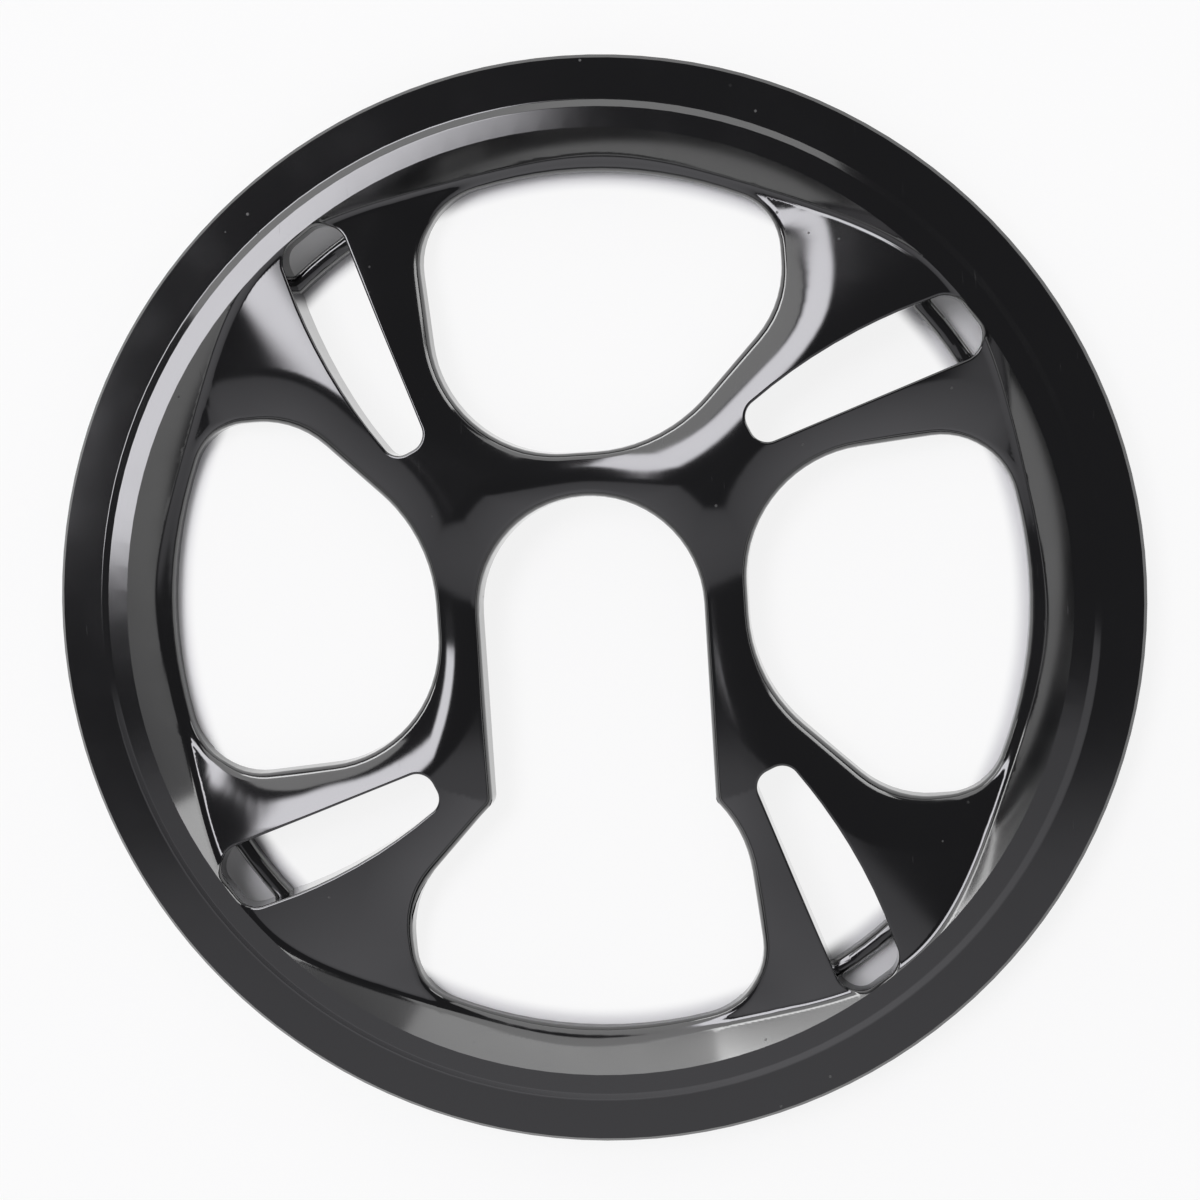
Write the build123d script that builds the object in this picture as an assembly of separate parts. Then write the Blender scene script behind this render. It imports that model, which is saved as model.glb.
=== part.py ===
from build123d import *
import math
import os

# Bicycle chain guard: one moulded disc that is clipped over the front of a chainring.
# Lengths are in millimetres. +Z faces away from the bicycle, -Y is the mouth for the crank arm.

# The chainring that it covers
chain_pitch = 12.7
ring_teeth = 42
chain_reach = 4.2
rim_overhang = 4.8

# The rim, from the outer edge inward
flange_width = 7.5
flange_height = 7.8
step_run = 1.3
bead_width = 3.5
bead_fall = 0.33
ridge_height = 8.8
wall = 2.2
edge_bevel = 0.6
crease_round = 0.8
bead_round = 0.6

# The lip that lies on the chainring, and the clip bars that it leaves across the slots
lip_inset = 6.5
lip_height = 2.6
lip_width = 1.4
bar_width = 3.0
bar_height = 2.9
bar_round = 1.3

# The crowned front and the hollow back of the spokes
spokes = 4
hub_height = 11.2
crest_step = 0.3
crest_angle = 39.5
valley_span = 51.0
bevel_run = 2.4
bevel_drop = 2.0
draft = 2.0
back_relief = 3.4
relief_radius = 50.0
seat_step = 0.4

# One window between two spokes, as it stands over the hub
window_foot = 27.3
foot_left = -22.9
foot_right = 13.8
left_lean = 5.3
right_side = 35.8
side_run = 16.0
round_foot_left = 22.0
round_foot_right = 27.0
round_right = 18.0
round_top_right = 10.0
round_top_left = 13.0

# One slot along the middle of a spoke
slot_tip_low = (30.4, 26.0)
slot_tip_high = (27.7, 32.0)
slot_low_angle = 19.2
slot_high_mid = (42.0, 41.4)
slot_high_end = (55.0, 47.1)
slot_high_angle = 17.5
slot_tip_round = 3.1
slot_end_round = 4.0
slot_end_gap = 0.4

# The keyhole that passes over the crank
keyhole_radius = 19.2
keyhole_leg = 45.0
keyhole_round = 3.0

# How far a cut runs past the solid that it cuts
overrun = 6.0

pitch_radius = chain_pitch / 2 / math.sin(math.pi / ring_teeth)
outer_radius = pitch_radius + chain_reach + rim_overhang
crease_radius = outer_radius - flange_width
bead_radius = crease_radius - step_run
ridge_radius = bead_radius - bead_width
lip_radius = ridge_radius - lip_inset
foot_radius = lip_radius + lip_width
bar_radius = lip_radius + bar_width
tall = hub_height + ridge_height

# The rim's inner wall slopes from the ridge down to the lip
wall_slope = (ridge_height - lip_height) / (ridge_radius - foot_radius)
wall_across = wall * math.hypot(1, wall_slope) / wall_slope


def corner_at(shape, place):
    """The corner of an outline that is nearest to a place."""
    return shape.vertices().sort_by_distance((*place, 0))[0]


def rounded(shape, place, radius):
    """The same outline with the corner nearest to a place rounded."""
    return fillet(corner_at(shape, place), radius)


def turned(shape):
    """The same thing once for every spoke."""
    return [Rot(0, 0, 360 / spokes * i) * shape for i in range(spokes)]


def spun(section):
    """Solid of revolution about the crank's axis from a section drawn as radius and height."""
    return revolve(Plane.XZ * section)


def wall_face_radius(height):
    """Radius of the front face of the rim's inner wall at a height."""
    return foot_radius + (height - lip_height) / wall_slope


def window_outline():
    """Window between two spokes: a foot line over the hub, two sides and the lip's arc, corners rounded."""
    left = math.tan(math.radians(left_lean))
    bend = math.sqrt(lip_radius**2 - right_side**2) - side_run
    far = lip_radius + overrun
    sides = Polygon(
        (foot_left, window_foot),
        (foot_right, window_foot),
        (right_side, bend),
        (right_side, far),
        (foot_left - left * (far - window_foot), far),
        align=None,
    )
    shape = sides & Circle(lip_radius)
    shape = rounded(shape, (foot_left, window_foot), round_foot_left)
    shape = rounded(shape, (foot_right, window_foot), round_foot_right)
    shape = rounded(shape, (right_side, bend), round_right)
    shape = rounded(shape, (right_side, lip_radius), round_top_right)
    return rounded(shape, (foot_left, lip_radius), round_top_left)


def slot_outline():
    """Slot in a spoke: narrow at the hub, wide at the rim, its outer end on the ridge's arc."""
    end_radius = ridge_radius - slot_end_gap
    low_run = end_radius - math.hypot(*slot_tip_low) + overrun
    high_run = end_radius - math.hypot(*slot_high_end) + overrun
    low_end = Vector(*slot_tip_low) + Vector(low_run, 0).rotate(Axis.Z, slot_low_angle)
    high_end = Vector(*slot_high_end) + Vector(high_run, 0).rotate(Axis.Z, slot_high_angle)
    edges = [
        Polyline(slot_tip_high, slot_tip_low, low_end, high_end, slot_high_end),
        ThreePointArc(slot_high_end, slot_high_mid, slot_tip_high),
    ]
    shape = make_face(edges) & Circle(end_radius)
    shape = rounded(shape, slot_tip_low, slot_tip_round)
    shape = rounded(shape, slot_tip_high, slot_tip_round)
    shape = rounded(shape, (low_end.X, low_end.Y), slot_end_round)
    return rounded(shape, (high_end.X, high_end.Y), slot_end_round)


def mouth_outline(lower_window):
    """Keyhole: round over the crank's axis, with straight legs that run into the lowest window. The two
    corners between a leg and the window are rounded by growing the opening and shrinking it again."""
    legs = Pos(0, -keyhole_leg / 2) * Rectangle(2 * keyhole_radius, keyhole_leg)
    shape = lower_window + legs + Circle(keyhole_radius)
    return offset(offset(shape, keyhole_round), -keyhole_round)


def rim_section():
    """Section of the rim: flange, step, sloping bead, sloping inner wall and the seat on the chainring."""
    bead_height = ridge_height - bead_fall
    under_bead = bead_height - wall
    under_flange = flange_height - wall
    shape = Polygon(
        (ridge_radius, ridge_height),
        (foot_radius, lip_height),
        (foot_radius, 0),
        (bar_radius, 0),
        (bar_radius, lip_height + (bar_radius - foot_radius - wall_across) * wall_slope),
        (wall_face_radius(under_bead) + wall_across, under_bead),
        (bead_radius - wall / 2, under_bead),
        (crease_radius - wall / 2, under_flange),
        (outer_radius, under_flange),
        (outer_radius, flange_height),
        (crease_radius, flange_height),
        (bead_radius, bead_height),
        align=None,
    )
    shape = chamfer(corner_at(shape, (outer_radius, flange_height)), edge_bevel)
    shape = rounded(shape, (crease_radius, flange_height), crease_round)
    return rounded(shape, (bead_radius, bead_height), bead_round)


def bar_section():
    """Section of the lip where it crosses a slot as a clip bar: flat behind, round in front."""
    shape = Pos((lip_radius + bar_radius) / 2, bar_height / 2) * Rectangle(bar_width, bar_height)
    for edge in (lip_radius, bar_radius):
        shape = rounded(shape, (edge, bar_height), bar_round)
    return shape


def air_in_front():
    """Everything in front of the spokes. Their front is one crowned surface: a low dome with a crest along
    each spoke, that falls away on both sides of the crest and levels out again at the lip.
    With x and y along the crests its height is hub - dome (x2 + y2) - fall x2 y2 + level x4 y4."""
    reach = ridge_radius + overrun
    dome = (hub_height - ridge_height + crest_step) / ridge_radius**2
    fall = 2 * (ridge_height - lip_height) / valley_span**4
    level = fall / (2 * valley_span**4)
    steps = [reach * share for share in (-1, -0.5, 0, 0.5, 1)]
    squares = [reach**2 * share for share in (1, 0, -1 / 3, 0, 1)]
    fourths = [reach**4 * share for share in (1, -1, 1, -1, 1)]
    poles = []
    for x, x2, x4 in zip(steps, squares, fourths):
        row = []
        for y, y2, y4 in zip(steps, squares, fourths):
            height = hub_height - dome * (x2 + y2) - fall * x2 * y2 + level * x4 * y4
            row.append(Vector(x, y, height))
        poles.append(row)
    front = Rot(0, 0, crest_angle) * Face.make_bezier_surface(poles)
    return Part(Solid.extrude(front, Vector(0, 0, 2 * tall)).wrapped)


def inside_wall(offset_in, foot, top):
    """Round core in front of the rim's inner wall, kept a distance inward from the wall's front face."""
    low = wall_face_radius(foot) - offset_in
    high = wall_face_radius(top) - offset_in
    return spun(Polygon((0, -overrun), (low, -overrun), (low, foot), (high, top), (0, top), align=None))


slot = slot_outline()
slots = turned(slot)
upper, left, lower, right = turned(window_outline())
openings = [upper, left, right, mouth_outline(lower)]
air = air_in_front()

# Hub and spokes: a disc with the crowned front, cut by the windows and bevelled along their front edges
spider = extrude(Circle(ridge_radius + wall), tall) - air
for opening in openings:
    spider -= extrude(opening, tall, taper=-draft)
front = spider.faces().filter_by(GeomType.BEZIER).sort_by(SortBy.AREA)[-1]
front_edges = [edge for loop in front.inner_wires() for edge in loop.edges()]
spider = chamfer(front_edges, bevel_run, bevel_drop, reference=front)
spider &= inside_wall(-wall_across / 2, lip_height, ridge_height + wall)
guard = spun(rim_section()) + spider

# Slots through the spokes and the rim's wall, with the clip bars left across them
bars = spun(bar_section())
for cut in slots:
    guard -= extrude(cut, tall) - bars

# Hollow back of the spokes, with an even wall along every opening
channel = Circle(lip_radius)
for opening in openings + slots:
    channel -= offset(opening, wall)
hollow = extrude(channel, tall) - Pos(0, 0, -wall) * air
guard -= hollow & inside_wall(wall_across, lip_height, ridge_height)

# The back stands clear of the chainring inside the lip
seat_inner = lip_radius - lip_width
relief = Polygon(
    (0, -overrun),
    (seat_inner, -overrun),
    (seat_inner, seat_step),
    (relief_radius, back_relief),
    (0, back_relief),
    align=None,
)
guard -= spun(relief)

os.makedirs("parts", exist_ok=True)
export_step(guard, "parts/chain_guard.step")
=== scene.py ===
import math
import bmesh
import bpy
from mathutils import Matrix, Vector, kdtree
from mathutils.geometry import delaunay_2d_cdt


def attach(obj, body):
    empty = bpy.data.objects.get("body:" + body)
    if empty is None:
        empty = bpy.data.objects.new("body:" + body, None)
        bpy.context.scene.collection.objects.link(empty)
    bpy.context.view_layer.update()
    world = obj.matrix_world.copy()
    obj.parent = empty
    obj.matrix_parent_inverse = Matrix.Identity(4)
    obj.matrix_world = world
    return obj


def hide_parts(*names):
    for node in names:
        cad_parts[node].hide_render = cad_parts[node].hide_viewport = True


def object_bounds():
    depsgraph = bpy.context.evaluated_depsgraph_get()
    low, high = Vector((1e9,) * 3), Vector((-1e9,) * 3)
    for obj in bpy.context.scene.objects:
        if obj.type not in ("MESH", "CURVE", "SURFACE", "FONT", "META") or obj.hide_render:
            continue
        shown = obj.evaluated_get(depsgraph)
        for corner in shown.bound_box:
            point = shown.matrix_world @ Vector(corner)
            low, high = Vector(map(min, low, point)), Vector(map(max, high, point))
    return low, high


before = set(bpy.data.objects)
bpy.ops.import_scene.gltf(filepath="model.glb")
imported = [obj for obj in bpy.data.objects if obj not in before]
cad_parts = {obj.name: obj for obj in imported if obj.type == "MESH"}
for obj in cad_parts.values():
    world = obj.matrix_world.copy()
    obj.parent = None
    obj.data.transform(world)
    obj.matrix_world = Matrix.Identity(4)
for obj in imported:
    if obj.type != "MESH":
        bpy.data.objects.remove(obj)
cad_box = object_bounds()


# Body: the rim, the walls of the openings and the hollow back of one injection moulding, as built.
# Its plain front skin is taken off here, and the edges that are left are parted finely for the
# new skin.
MM = 0.001
rim_width = 12.3
wall_run = 5.1
ridge_radius = cad_box[1][0] / MM - rim_width
ridge_height = 8.8
foot_radius = ridge_radius - wall_run
foot_height = 2.6


def faces_forward(face):
    """True for a face of the front skin: inside the ridge and facing away from the bicycle."""
    least_upright = 0.2
    inside = face.calc_center_median().xy.length < ridge_radius * MM
    return face.normal.z > least_upright and inside


def steps_inward(face):
    """True for a face of the low step at the foot of the rim's wall, which goes with the skin."""
    margin = 0.1
    least_inward = 0.9
    outward = face.calc_center_median().xy
    at_foot = abs(outward.length / MM - foot_radius) < margin
    return at_foot and face.normal.xy.dot(outward.normalized()) < -least_inward


weld = 1e-6
body = bmesh.new()
body.from_mesh(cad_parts["chain_guard"].data)
bmesh.ops.remove_doubles(body, verts=body.verts, dist=weld)
body.normal_update()

# The skin is found by walking from its highest point across the edges of each face that was found
highest = max(body.verts, key=lambda vert: vert.co.z)
front = [face for face in highest.link_faces if faces_forward(face)]
found = {face.index for face in front}
for face in front:
    for edge in face.edges:
        for other in edge.link_faces:
            if other.index not in found and faces_forward(other):
                found.add(other.index)
                front.append(other)
front += [face for face in body.faces if steps_inward(face) and face.index not in found]
bmesh.ops.delete(body, geom=front, context="FACES")

edge_step = 0.6
most_cuts = 40
for cuts in range(1, most_cuts):
    long_edges = []
    for edge in body.edges:
        if edge.is_boundary and round(edge.calc_length() / MM / edge_step - 0.5) == cuts:
            long_edges.append(edge)
    if long_edges:
        bmesh.ops.subdivide_edges(body, edges=long_edges, cuts=cuts, use_single_edge=True)


# Front skin: the crowned hub and spokes and the rim's sloping inner wall, one flowing surface.
# It falls towards each window over a broad band that ends in a small roll, and where two windows
# are close their falls add up. At the lip the falls die out. The slots have a crisp edge.
class Outline:
    """A closed edge of the skin in plan, in millimetres, with smoothed directions into the part."""

    reach = 0.8

    def __init__(self, verts):
        points = [Vector((v.co.x, v.co.y)) / MM for v in verts]
        area = sum(a.x * b.y - a.y * b.x for a, b in zip(points, points[1:] + points[:1])) / 2
        if area < 0:
            points.reverse()
            verts = verts[::-1]
        self.verts = verts
        self.points = points
        self.area = abs(area)
        self.count = len(points)
        steps = [points[(i + 1) % self.count] - p for i, p in enumerate(points)]
        sides = [Vector((step.y, -step.x)) for step in steps]
        for _ in range(2):
            sides = [self.blended(sides, steps, i) for i in range(self.count)]
        self.sides = [(sides[i - 1] + sides[i]).normalized() for i in range(self.count)]

    def blended(self, sides, steps, i):
        """Mean of a direction over the neighbouring steps of the edge, up to the reach each way."""
        total = sides[i].normalized() * steps[i].length
        for way in (-1, 1):
            gone = steps[i].length / 2
            k = i
            while gone < self.reach:
                k = (k + way) % self.count
                part = min(steps[k].length, self.reach - gone)
                total += sides[k].normalized() * part
                gone += steps[k].length
        return total.normalized()

    def holds(self, p):
        """True where a place lies inside the edge."""
        inside = False
        for a, b in zip(self.points, self.points[1:] + self.points[:1]):
            if (a.y > p.y) != (b.y > p.y) and p.x < a.x + (p.y - a.y) / (b.y - a.y) * (b.x - a.x):
                inside = not inside
        return inside


class Nearest:
    """Finds the nearest place on a group of outlines."""

    def __init__(self, outlines):
        self.marks = [(outline, i) for outline in outlines for i in range(outline.count)]
        self.tree = kdtree.KDTree(len(self.marks))
        for n, (outline, i) in enumerate(self.marks):
            self.tree.insert(outline.points[i].to_3d(), n)
        self.tree.balance()

    def to(self, p):
        """Signed distance into the part, the direction into it, and the nearest place's radius."""
        outline, i = self.marks[self.tree.find(p.to_3d())[1]]
        best = None
        for j in (i - 1, i):
            following = (j + 1) % outline.count
            a = outline.points[j]
            along = outline.points[following] - a
            share = min(1, max(0, (p - a).dot(along) / along.length_squared))
            place = a + along * share
            gap = (p - place).length
            if best is None or gap < best[0]:
                side = outline.sides[j].lerp(outline.sides[following], share).normalized()
                best = gap, side, place
        gap, side, place = best
        return (gap if (p - place).dot(side) >= 0 else -gap), side, place.length


def closed_edges(edges):
    """The closed outlines that boundary edges form, each as its corners in order."""
    left = {edge.index: edge for edge in edges}
    while left:
        _, edge = left.popitem()
        chain = [edge.verts[0], edge.verts[1]]
        while chain[-1] is not chain[0]:
            following = next(e for e in chain[-1].link_edges if e.index in left)
            del left[following.index]
            chain.append(following.other_vert(chain[-1]))
        yield Outline(chain[:-1])


spokes = 4
body.edges.index_update()
open_edges = [edge for edge in body.edges if edge.is_boundary]
outlines = sorted(closed_edges(open_edges), key=lambda outline: outline.area)
slots = outlines[:spokes]
windows = outlines[spokes:2 * spokes]
ridge = outlines[2 * spokes]
finders = [Nearest([window]) for window in windows]
to_slots = Nearest(slots)


def to_windows(p):
    """The way to each window from a place in plan, the nearest window first."""
    return sorted([finder.to(p) for finder in finders], key=lambda way: way[0])


def eased(value, low, high):
    """Rises smoothly from 0 at one value to 1 at another."""
    share = min(1, max(0, (value - low) / (high - low)))
    return share * share * (3 - 2 * share)


hub_height = 11.35
crest_end = 8.5
crest_turn = math.radians(39.5)
valley = 51.0
dome = (hub_height - crest_end) / ridge_radius**2
leaf_fall = 2 * (ridge_height - foot_height) / valley**4
leaf_level = leaf_fall / (2 * valley**4)


def crown(x, y):
    """Height of the crowned front, before its edges are rolled over."""
    u = x * math.cos(crest_turn) + y * math.sin(crest_turn)
    v = y * math.cos(crest_turn) - x * math.sin(crest_turn)
    cross = u * u * v * v
    return hub_height - dome * (u * u + v * v) - leaf_fall * cross + leaf_level * cross * cross


def crown_slope(x, y):
    """How the crowned front rises along x and along y."""
    step = 0.05
    along_x = (crown(x + step, y) - crown(x - step, y)) / (2 * step)
    along_y = (crown(x, y + step) - crown(x, y - step)) / (2 * step)
    return along_x, along_y


def roll(gap, run, drop):
    """Drop and steepness of a rounded edge at a distance from it. It ends just short of upright."""
    least_square = 0.02
    share = min(1, max(0, (run - gap) / run))
    level = math.sqrt(max(1 - share * share, least_square))
    return drop * (1 - math.sqrt(max(0, 1 - share * share))), drop / run * share / level


# Radii between which an edge passes from the hub to a leaf, to the leaf's end and to the lip
hub_to_leaf = (25, 43)
leaf_to_end = (58, 70)
end_to_lip = (71.5, 75.1)

# The small roll is widest and deepest at the lip, and a little deeper at the hub than along a leaf
lip_roll = 1.6
leaf_narrower = 0.3
leaf_shallower = 0.6
hub_deeper = 0.2

# The broad fall towards a window is steepest along a leaf, and gentler again at the leaf's end
fall_width = 9.5
least_width = 0.01
hub_steepness = 0.48
leaf_steeper = 0.08
end_gentler = 0.4

slot_roll = 0.45
crease = 1.1
wall_slope = (ridge_height - foot_height) / (ridge_radius - foot_radius)


def skin_at(p, to_window, to_slot):
    """Height of the skin at a place in plan, its outward normal, and its gap to the crease."""
    gap, side, far = to_window[0]
    off_lip = 1 - eased(far, *end_to_lip)
    width = lip_roll - leaf_narrower * off_lip
    depth = lip_roll - leaf_shallower * off_lip + hub_deeper * (1 - eased(far, *hub_to_leaf))
    drop, steep = roll(gap, width, depth)
    rise = side * steep
    for gap, side, far in to_window:
        off_lip = 1 - eased(far, *end_to_lip)
        width = fall_width * off_lip + least_width
        steep = hub_steepness + leaf_steeper * eased(far, *hub_to_leaf)
        steep = steep * (1 - end_gentler * eased(far, *leaf_to_end)) * off_lip
        left = max(0, 1 - gap / width)
        drop += steep * width / 2 * left * left
        rise += side * steep * left
    front = crown(p.x, p.y) - drop
    along_x, along_y = crown_slope(p.x, p.y)
    rise.x += along_x
    rise.y += along_y
    radius = p.length
    wall = foot_height + (radius - foot_radius) * wall_slope
    share = min(1, max(0, 0.5 + 0.5 * (wall - front) / crease))
    height = front + (wall - front) * share + crease * share * (1 - share)
    rise = rise * (1 - share) + p / radius * wall_slope * share
    gap, side, _ = to_slot
    drop, steep = roll(gap, slot_roll, slot_roll)
    rise += side * steep
    return height - drop, Vector((-rise.x, -rise.y, 1)).normalized(), abs(wall - front)


# The skin's points: first those on the edges, which the body lends
places = []
corners = []
loops = []
normals = {}
for outline in outlines:
    start = len(places)
    loops += [(start + i, start + (i + 1) % outline.count) for i in range(outline.count)]
    for vert, p in zip(outline.verts, outline.points):
        height, normal, _ = skin_at(p, to_windows(p), to_slots.to(p))
        if outline is ridge:
            height = ridge_height
        vert.co.z = height * MM
        places.append(p)
        corners.append(vert)
        normals[vert] = normal
on_edges = len(places)


def add_place(p, height, normal):
    """A point of the skin's own."""
    vert = body.verts.new((p.x * MM, p.y * MM, height * MM))
    places.append(p)
    corners.append(vert)
    normals[vert] = normal


# Then rows along the edges, close together where the skin turns over
window_rows = (0.04, 0.12, 0.25, 0.45, 0.7, 1.0, 1.35, 1.8, 2.3)
slot_rows = (0.04, 0.14, 0.28, 0.5)
own_share = 0.85
row_off_ridge = 0.1
for outline in windows + slots:
    for gap in window_rows if outline in windows else slot_rows:
        for point, side in zip(outline.points, outline.sides):
            p = point + side * gap
            to_window = to_windows(p)
            to_slot = to_slots.to(p)
            nearest = min(to_window[0][0], to_slot[0])
            if nearest > own_share * gap and p.length < ridge_radius - row_off_ridge:
                height, normal, _ = skin_at(p, to_window, to_slot)
                add_place(p, height, normal)

# Last a grid over the rest, finer where the leaves meet the rim's wall
wide_pitch = 0.56
fine_pitch = 0.28
fine_radius = 72
fine_reach = 1.5
grid_off_window = 2.6
grid_off_slot = 0.8
grid_off_ridge = 0.4
row_share = math.sqrt(0.75)
for pitch, inner_radius, fine in ((wide_pitch, 0, False), (fine_pitch, fine_radius, True)):
    rows = math.ceil(ridge_radius / (pitch * row_share))
    for row in range(-rows, rows + 1):
        for column in range(-rows, rows + 1):
            p = Vector(((column + 0.5 * (row % 2)) * pitch, row * pitch * row_share))
            if not inner_radius <= p.length < ridge_radius - grid_off_ridge:
                continue
            to_window = to_windows(p)
            to_slot = to_slots.to(p)
            if to_window[0][0] > grid_off_window and to_slot[0] > grid_off_slot:
                height, normal, off_crease = skin_at(p, to_window, to_slot)
                at_crease = off_crease < fine_reach * crease and p.length > fine_radius
                if at_crease == fine:
                    add_place(p, height, normal)

same_place = 1e-5
sliver = 1e-4
_, _, triangles, sources, _, _ = delaunay_2d_cdt(places, loops, [], 0, same_place)
skin = set()
for triangle in triangles:
    own = [sources[i][0] for i in triangle]
    a, b, c = [places[i] for i in own]
    middle = (a + b + c) / 3
    in_hole = all(i < on_edges for i in own) and any(hole.holds(middle) for hole in windows + slots)
    if not in_hole and (b - a).cross(c - a) > sliver:
        skin.add(body.faces.new([corners[i] for i in own]))
body.normal_update()

smooth_turn = 0.8
shading = []
for face in body.faces:
    face.smooth = True
    for vert in face.verts:
        if face in skin:
            shading.append(normals[vert])
            continue
        around = Vector()
        for other in vert.link_faces:
            if other not in skin and other.normal.dot(face.normal) > smooth_turn:
                around += other.normal * other.calc_area() ** 2
        shading.append(around.normalized())
guard_mesh = bpy.data.meshes.new("chain_guard_moulded")
body.to_mesh(guard_mesh)
body.free()
guard_mesh.normals_split_custom_set(shading)
guard = bpy.data.objects.new("moulded_guard", guard_mesh)
bpy.context.scene.collection.objects.link(guard)
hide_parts("chain_guard")
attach(guard, "root")


# Black plastic: glossy as it leaves a polished mould, so it mirrors the room under a deep black.
# The mirror has a slight ripple from shrinkage, and handling has left hairline scratches and dust.
class Socket:
    """An output of a node, so that the maths of a material or a room reads as an expression."""

    def __init__(self, tree, out):
        self.tree = tree
        self.out = out

    def node(self, kind, settings=None, output=0, **inputs):
        """Adds a node: settings first, then the value or link of each input by name or number."""
        made = self.tree.nodes.new(kind)
        for name, value in (settings or {}).items():
            setattr(made, name, value)
        for name, value in inputs.items():
            key = int(name[1:]) if name[0] == "i" and name[1:].isdigit() else name.replace("_", " ")
            if isinstance(value, Socket):
                self.tree.links.new(value.out, made.inputs[key])
            else:
                made.inputs[key].default_value = value
        return Socket(self.tree, made.outputs[output])

    def maths(self, operation, *values):
        """Adds a node that reckons with numbers."""
        inputs = {f"i{i}": value for i, value in enumerate(values)}
        return self.node("ShaderNodeMath", {"operation": operation}, **inputs)

    def __add__(self, other):
        return self.maths("ADD", self, other)

    __radd__ = __add__

    def __sub__(self, other):
        return self.maths("SUBTRACT", self, other)

    def __rsub__(self, other):
        return self.maths("SUBTRACT", other, self)

    def __mul__(self, other):
        return self.maths("MULTIPLY", self, other)

    __rmul__ = __mul__

    def step(self, low, high):
        """Rises smoothly from 0 at one value to 1 at another."""
        smooth = {"interpolation_type": "SMOOTHSTEP"}
        return self.node("ShaderNodeMapRange", smooth, i0=self, i1=low, i2=high)

    def feed(self, shader, name):
        """Leads to one input of a shader."""
        self.tree.links.new(self.out, shader.inputs[name])


def new_shader(name):
    """A new material, its surface shader and a socket with the place on the object in metres."""
    material = bpy.data.materials.new(name)
    material.use_nodes = True
    tree = material.node_tree
    surface = tree.nodes["Principled BSDF"]
    place = Socket(tree, tree.nodes.new("ShaderNodeTexCoord").outputs["Object"])
    return material, surface, place


plastic, surface, place = new_shader("black_plastic")
ripple = place.node("ShaderNodeTexNoise", Vector=place, Scale=70.0, Detail=2.0)
grain = place.node("ShaderNodeTexNoise", Vector=place, Scale=1500.0, Detail=2.0)
haze = place.node("ShaderNodeTexNoise", Vector=place, Scale=45.0, Detail=4.0).step(0.4, 0.7)

# Hairlines lie along three directions, each kept to patches of its own
scratches = None
across_hairline = 2600.0
patches = {"noise_dimensions": "4D"}
for turn, length in ((0.3, 140.0), (1.25, 110.0), (2.4, 160.0)):
    stretch = (across_hairline, length, length)
    turned = place.node("ShaderNodeMapping", Vector=place, Rotation=(0, 0, turn), Scale=stretch)
    streak = place.node("ShaderNodeTexNoise", Vector=turned, Scale=1.0, Detail=1.0).step(0.76, 0.8)
    patch = place.node("ShaderNodeTexNoise", patches, Vector=place, W=turn, Scale=60.0)
    streak = streak * patch.step(0.55, 0.7)
    scratches = streak if scratches is None else scratches.maths("MAXIMUM", scratches, streak)

# A speck of dust lies in the middle of one cell in some thirty
spread = 420.0
cells = {"feature": "F1"}
off_speck = place.node("ShaderNodeTexVoronoi", cells, Vector=place, Scale=spread)
speck = place.node("ShaderNodeTexVoronoi", cells, output="Position", Vector=place, Scale=spread)
chance = place.node("ShaderNodeTexWhiteNoise", Vector=speck)
dust = (1 - off_speck.step(0.06, 0.14)) * chance.step(0.96, 0.97)

deep_black = (0.0035, 0.0035, 0.004, 1)
dust_grey = (0.3, 0.3, 0.29, 1)
colours = {"data_type": "RGBA"}
worn = dust * 0.25 + scratches * 0.08
tint = place.node("ShaderNodeMix", colours, output=2, i0=worn, i6=deep_black, i7=dust_grey)
tint.feed(surface, "Base Color")
rough = 0.09 + 0.07 * haze + 0.3 * scratches + 0.4 * dust
rough.feed(surface, "Roughness")
gloss = 1 - 0.5 * scratches - 0.9 * dust
gloss.feed(surface, "Coat Weight")
relief = ripple + 0.012 * grain - 0.02 * scratches + 0.05 * dust
bump = place.node("ShaderNodeBump", Strength=1.0, Distance=0.00003, Height=relief)
bump.feed(surface, "Normal")
surface.inputs["IOR"].default_value = 1.54
surface.inputs["Coat IOR"].default_value = 1.6
surface.inputs["Coat Roughness"].default_value = 0.09
guard.data.materials.append(plastic)


# Floor: a plain white table that the guard lies on, its lip just clear of the surface. It shows as
# white in the picture and in the gloss, and keeps a faint shadow. In a ring under the rim the white
# lift is left off, painted shade that lets the rendered shadow show deeper there.
def shows_background(socket):
    """1 where the background is seen: by the camera, in a mirror or through something clear."""
    rays = ("Is Camera Ray", "Is Glossy Ray", "Is Transmission Ray")
    camera, glossy, clear = [socket.node("ShaderNodeLightPath", output=ray) for ray in rays]
    return socket.maths("MINIMUM", camera + glossy + clear, 1.0)


half_table = 3.0
table_gap = 0.0002
quarters = ((-1, -1), (1, -1), (1, 1), (-1, 1))
table_corners = [(x * half_table, y * half_table, 0) for x, y in quarters]
floor_mesh = bpy.data.meshes.new("floor")
floor_mesh.from_pydata(table_corners, [], [(0, 1, 2, 3)])
floor = bpy.data.objects.new("floor", floor_mesh)
bpy.context.scene.collection.objects.link(floor)
white, surface, place = new_shader("white_table")
surface.inputs["Base Color"].default_value = (0.88, 0.88, 0.88, 1)
surface.inputs["Roughness"].default_value = 0.7
bright = place.node("ShaderNodeEmission", Color=(1, 1, 1, 1), Strength=1.0)
lit = Socket(white.node_tree, surface.outputs[0])
length = {"operation": "LENGTH"}
from_middle = place.node("ShaderNodeVectorMath", length, output="Value", Vector=place)
# Painted shade: a ring under the rim where the floor is not lifted to white, so it shows darker
painted_shade_under_rim = from_middle.step(0.072, 0.075) * (1 - from_middle.step(0.088, 0.094))
lift = 0.85
lifted = lift * (1 - painted_shade_under_rim) * shows_background(place)
table = place.node("ShaderNodeMixShader", i0=lifted, i1=lit, i2=bright)
table.feed(white.node_tree.nodes["Material Output"], "Surface")
floor.data.materials.append(white)
floor.location.z = -table_gap


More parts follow.
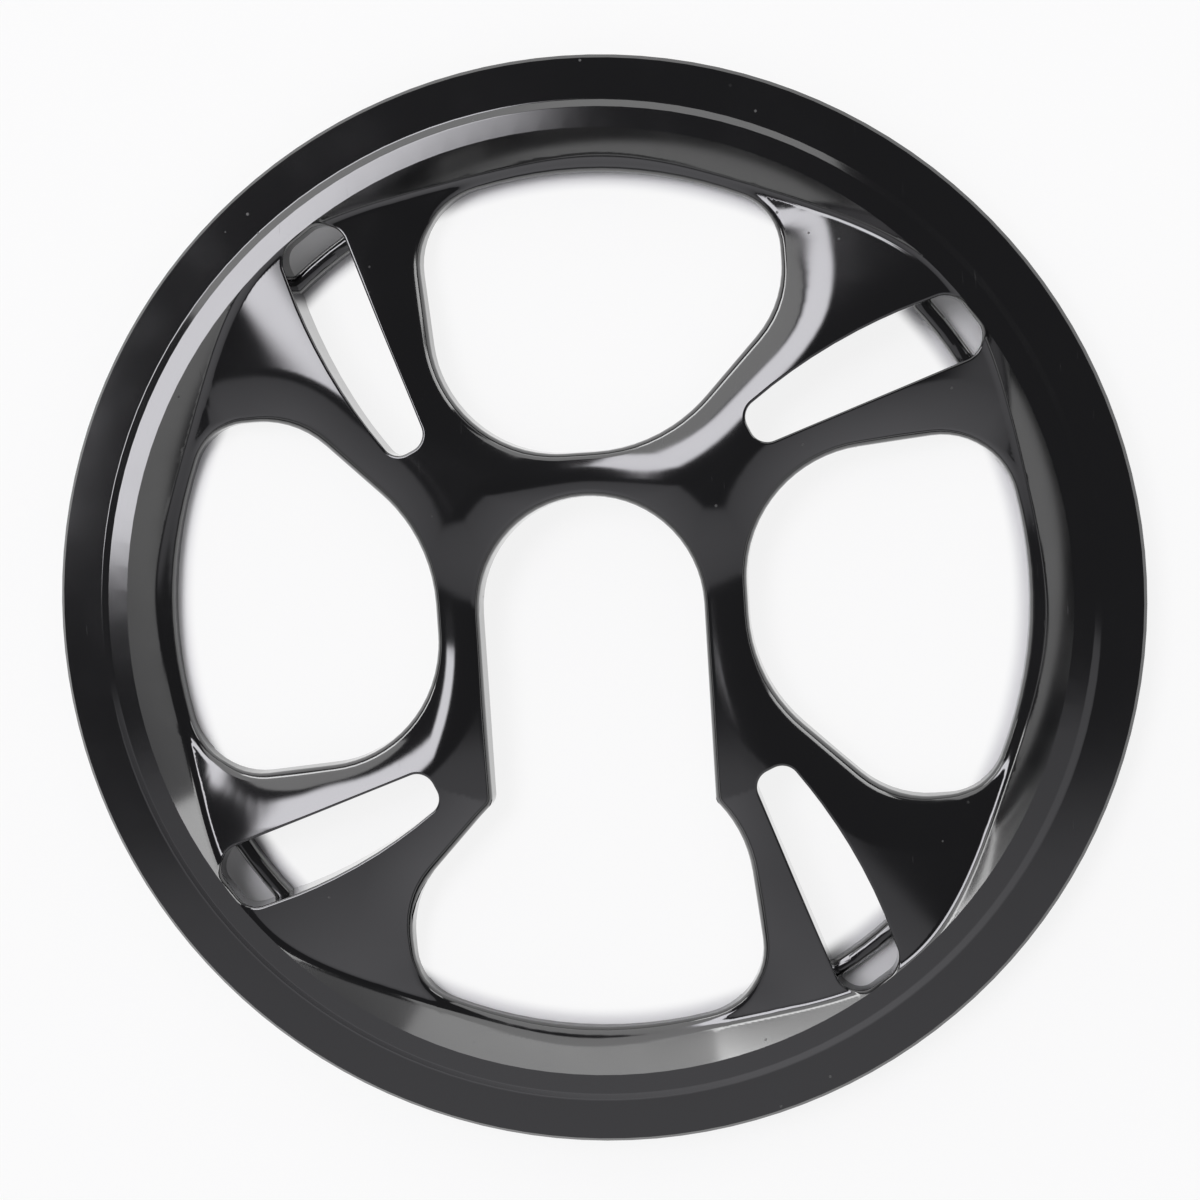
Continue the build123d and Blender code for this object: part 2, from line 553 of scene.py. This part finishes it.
# Light: a large main light with soft edges stands high at the upper left, with a paler panel behind
# it and two low ones, a bright strip at the far left and one at the right. The room is dim, with a
# soft grey on its lower side, and fades to white where the table ends.
def soft_box(name, azimuth, zenith, width, height, radiance):
    """A soft light that spans a width and a height in degrees, as seen from the table."""
    distance = 3.0
    lamp = bpy.data.lights.new(name, "AREA")
    lamp.shape = "RECTANGLE"
    lamp.size = 2 * distance * math.tan(math.radians(width / 2))
    lamp.size_y = 2 * distance * math.tan(math.radians(height / 2))
    lamp.energy = radiance * math.pi * lamp.size * lamp.size_y
    box = bpy.data.objects.new(name, lamp)
    bpy.context.scene.collection.objects.link(box)
    a = math.radians(azimuth)
    z = math.radians(zenith)
    towards = Vector((math.sin(z) * math.cos(a), math.sin(z) * math.sin(a), math.cos(z)))
    box.location = towards * distance
    box.rotation_euler = towards.to_track_quat("Z", "Y").to_euler()
    box.visible_camera = False


soft_box("upper_panel", azimuth=105, zenith=67, width=79, height=44, radiance=1.4)
soft_box("far_panel", azimuth=138, zenith=80, width=58, height=9, radiance=4.5)
soft_box("right_panel", azimuth=33, zenith=79, width=26, height=22, radiance=3.0)

world = bpy.data.worlds.new("studio")
bpy.context.scene.world = world
world.use_nodes = True
room = world.node_tree
background = room.nodes["Background"]
direction = Socket(room, room.nodes.new("ShaderNodeTexCoord").outputs["Generated"])
sideways, across, upright = [
    direction.node("ShaderNodeSeparateXYZ", output=axis, Vector=direction) for axis in "XYZ"
]
lower_side = (1 - across.step(-0.21, -0.15)) * upright.step(0.2, 0.34)
right_edge = 1 - (sideways + 0.29 * across).step(-0.04, 0.03)
main_light = across.step(-0.045, 0.015) * right_edge * sideways.step(-0.65, -0.58)
main_light = main_light * upright.step(0.68, 0.74) * (1 - upright.step(0.91, 0.945))
dim = 0.085
grey = 0.25 - 0.5 * across
main_level = 6.2
level = dim + grey * lower_side + main_level * main_light
backdrop = (1 - upright.step(0.1, 0.2)) * shows_background(direction)
level = level + (1 - level) * backdrop
level.feed(background, "Strength")
cool = (0.96, 0.95, 1, 1)
plain = (1, 1, 1, 1)
tone = direction.node("ShaderNodeMix", colours, output=2, i0=backdrop, i6=cool, i7=plain)
tone.feed(background, "Color")


# Camera: looks down on the guard from a little towards its upper right, the mouth at the bottom.
# It is close, so that the walls of the openings show more towards the rim.
distance = 0.3503
tilt = math.radians(7.37)
turn = math.radians(37.9)
lean = math.radians(3.69)
middle = Vector((0, 0, 0.007))
aim = Vector((0.00158, 0.00147, 0.007))
towards = Vector((math.sin(tilt) * math.cos(turn), math.sin(tilt) * math.sin(turn), math.cos(tilt)))
eye = middle + distance * towards
lens = bpy.data.cameras.new("camera")
lens.sensor_width = 36
lens.lens = 60.885
lens.clip_start = 0.01
camera = bpy.data.objects.new("camera", lens)
bpy.context.scene.collection.objects.link(camera)
back = (eye - aim).normalized()
upward = Vector((math.sin(lean), math.cos(lean), 0))
right = upward.cross(back).normalized()
upward = back.cross(right)
camera.matrix_world = Matrix.Translation(eye) @ Matrix((right, upward, back)).transposed().to_4x4()
bpy.context.scene.camera = camera
bpy.context.scene.view_settings.view_transform = "Standard"
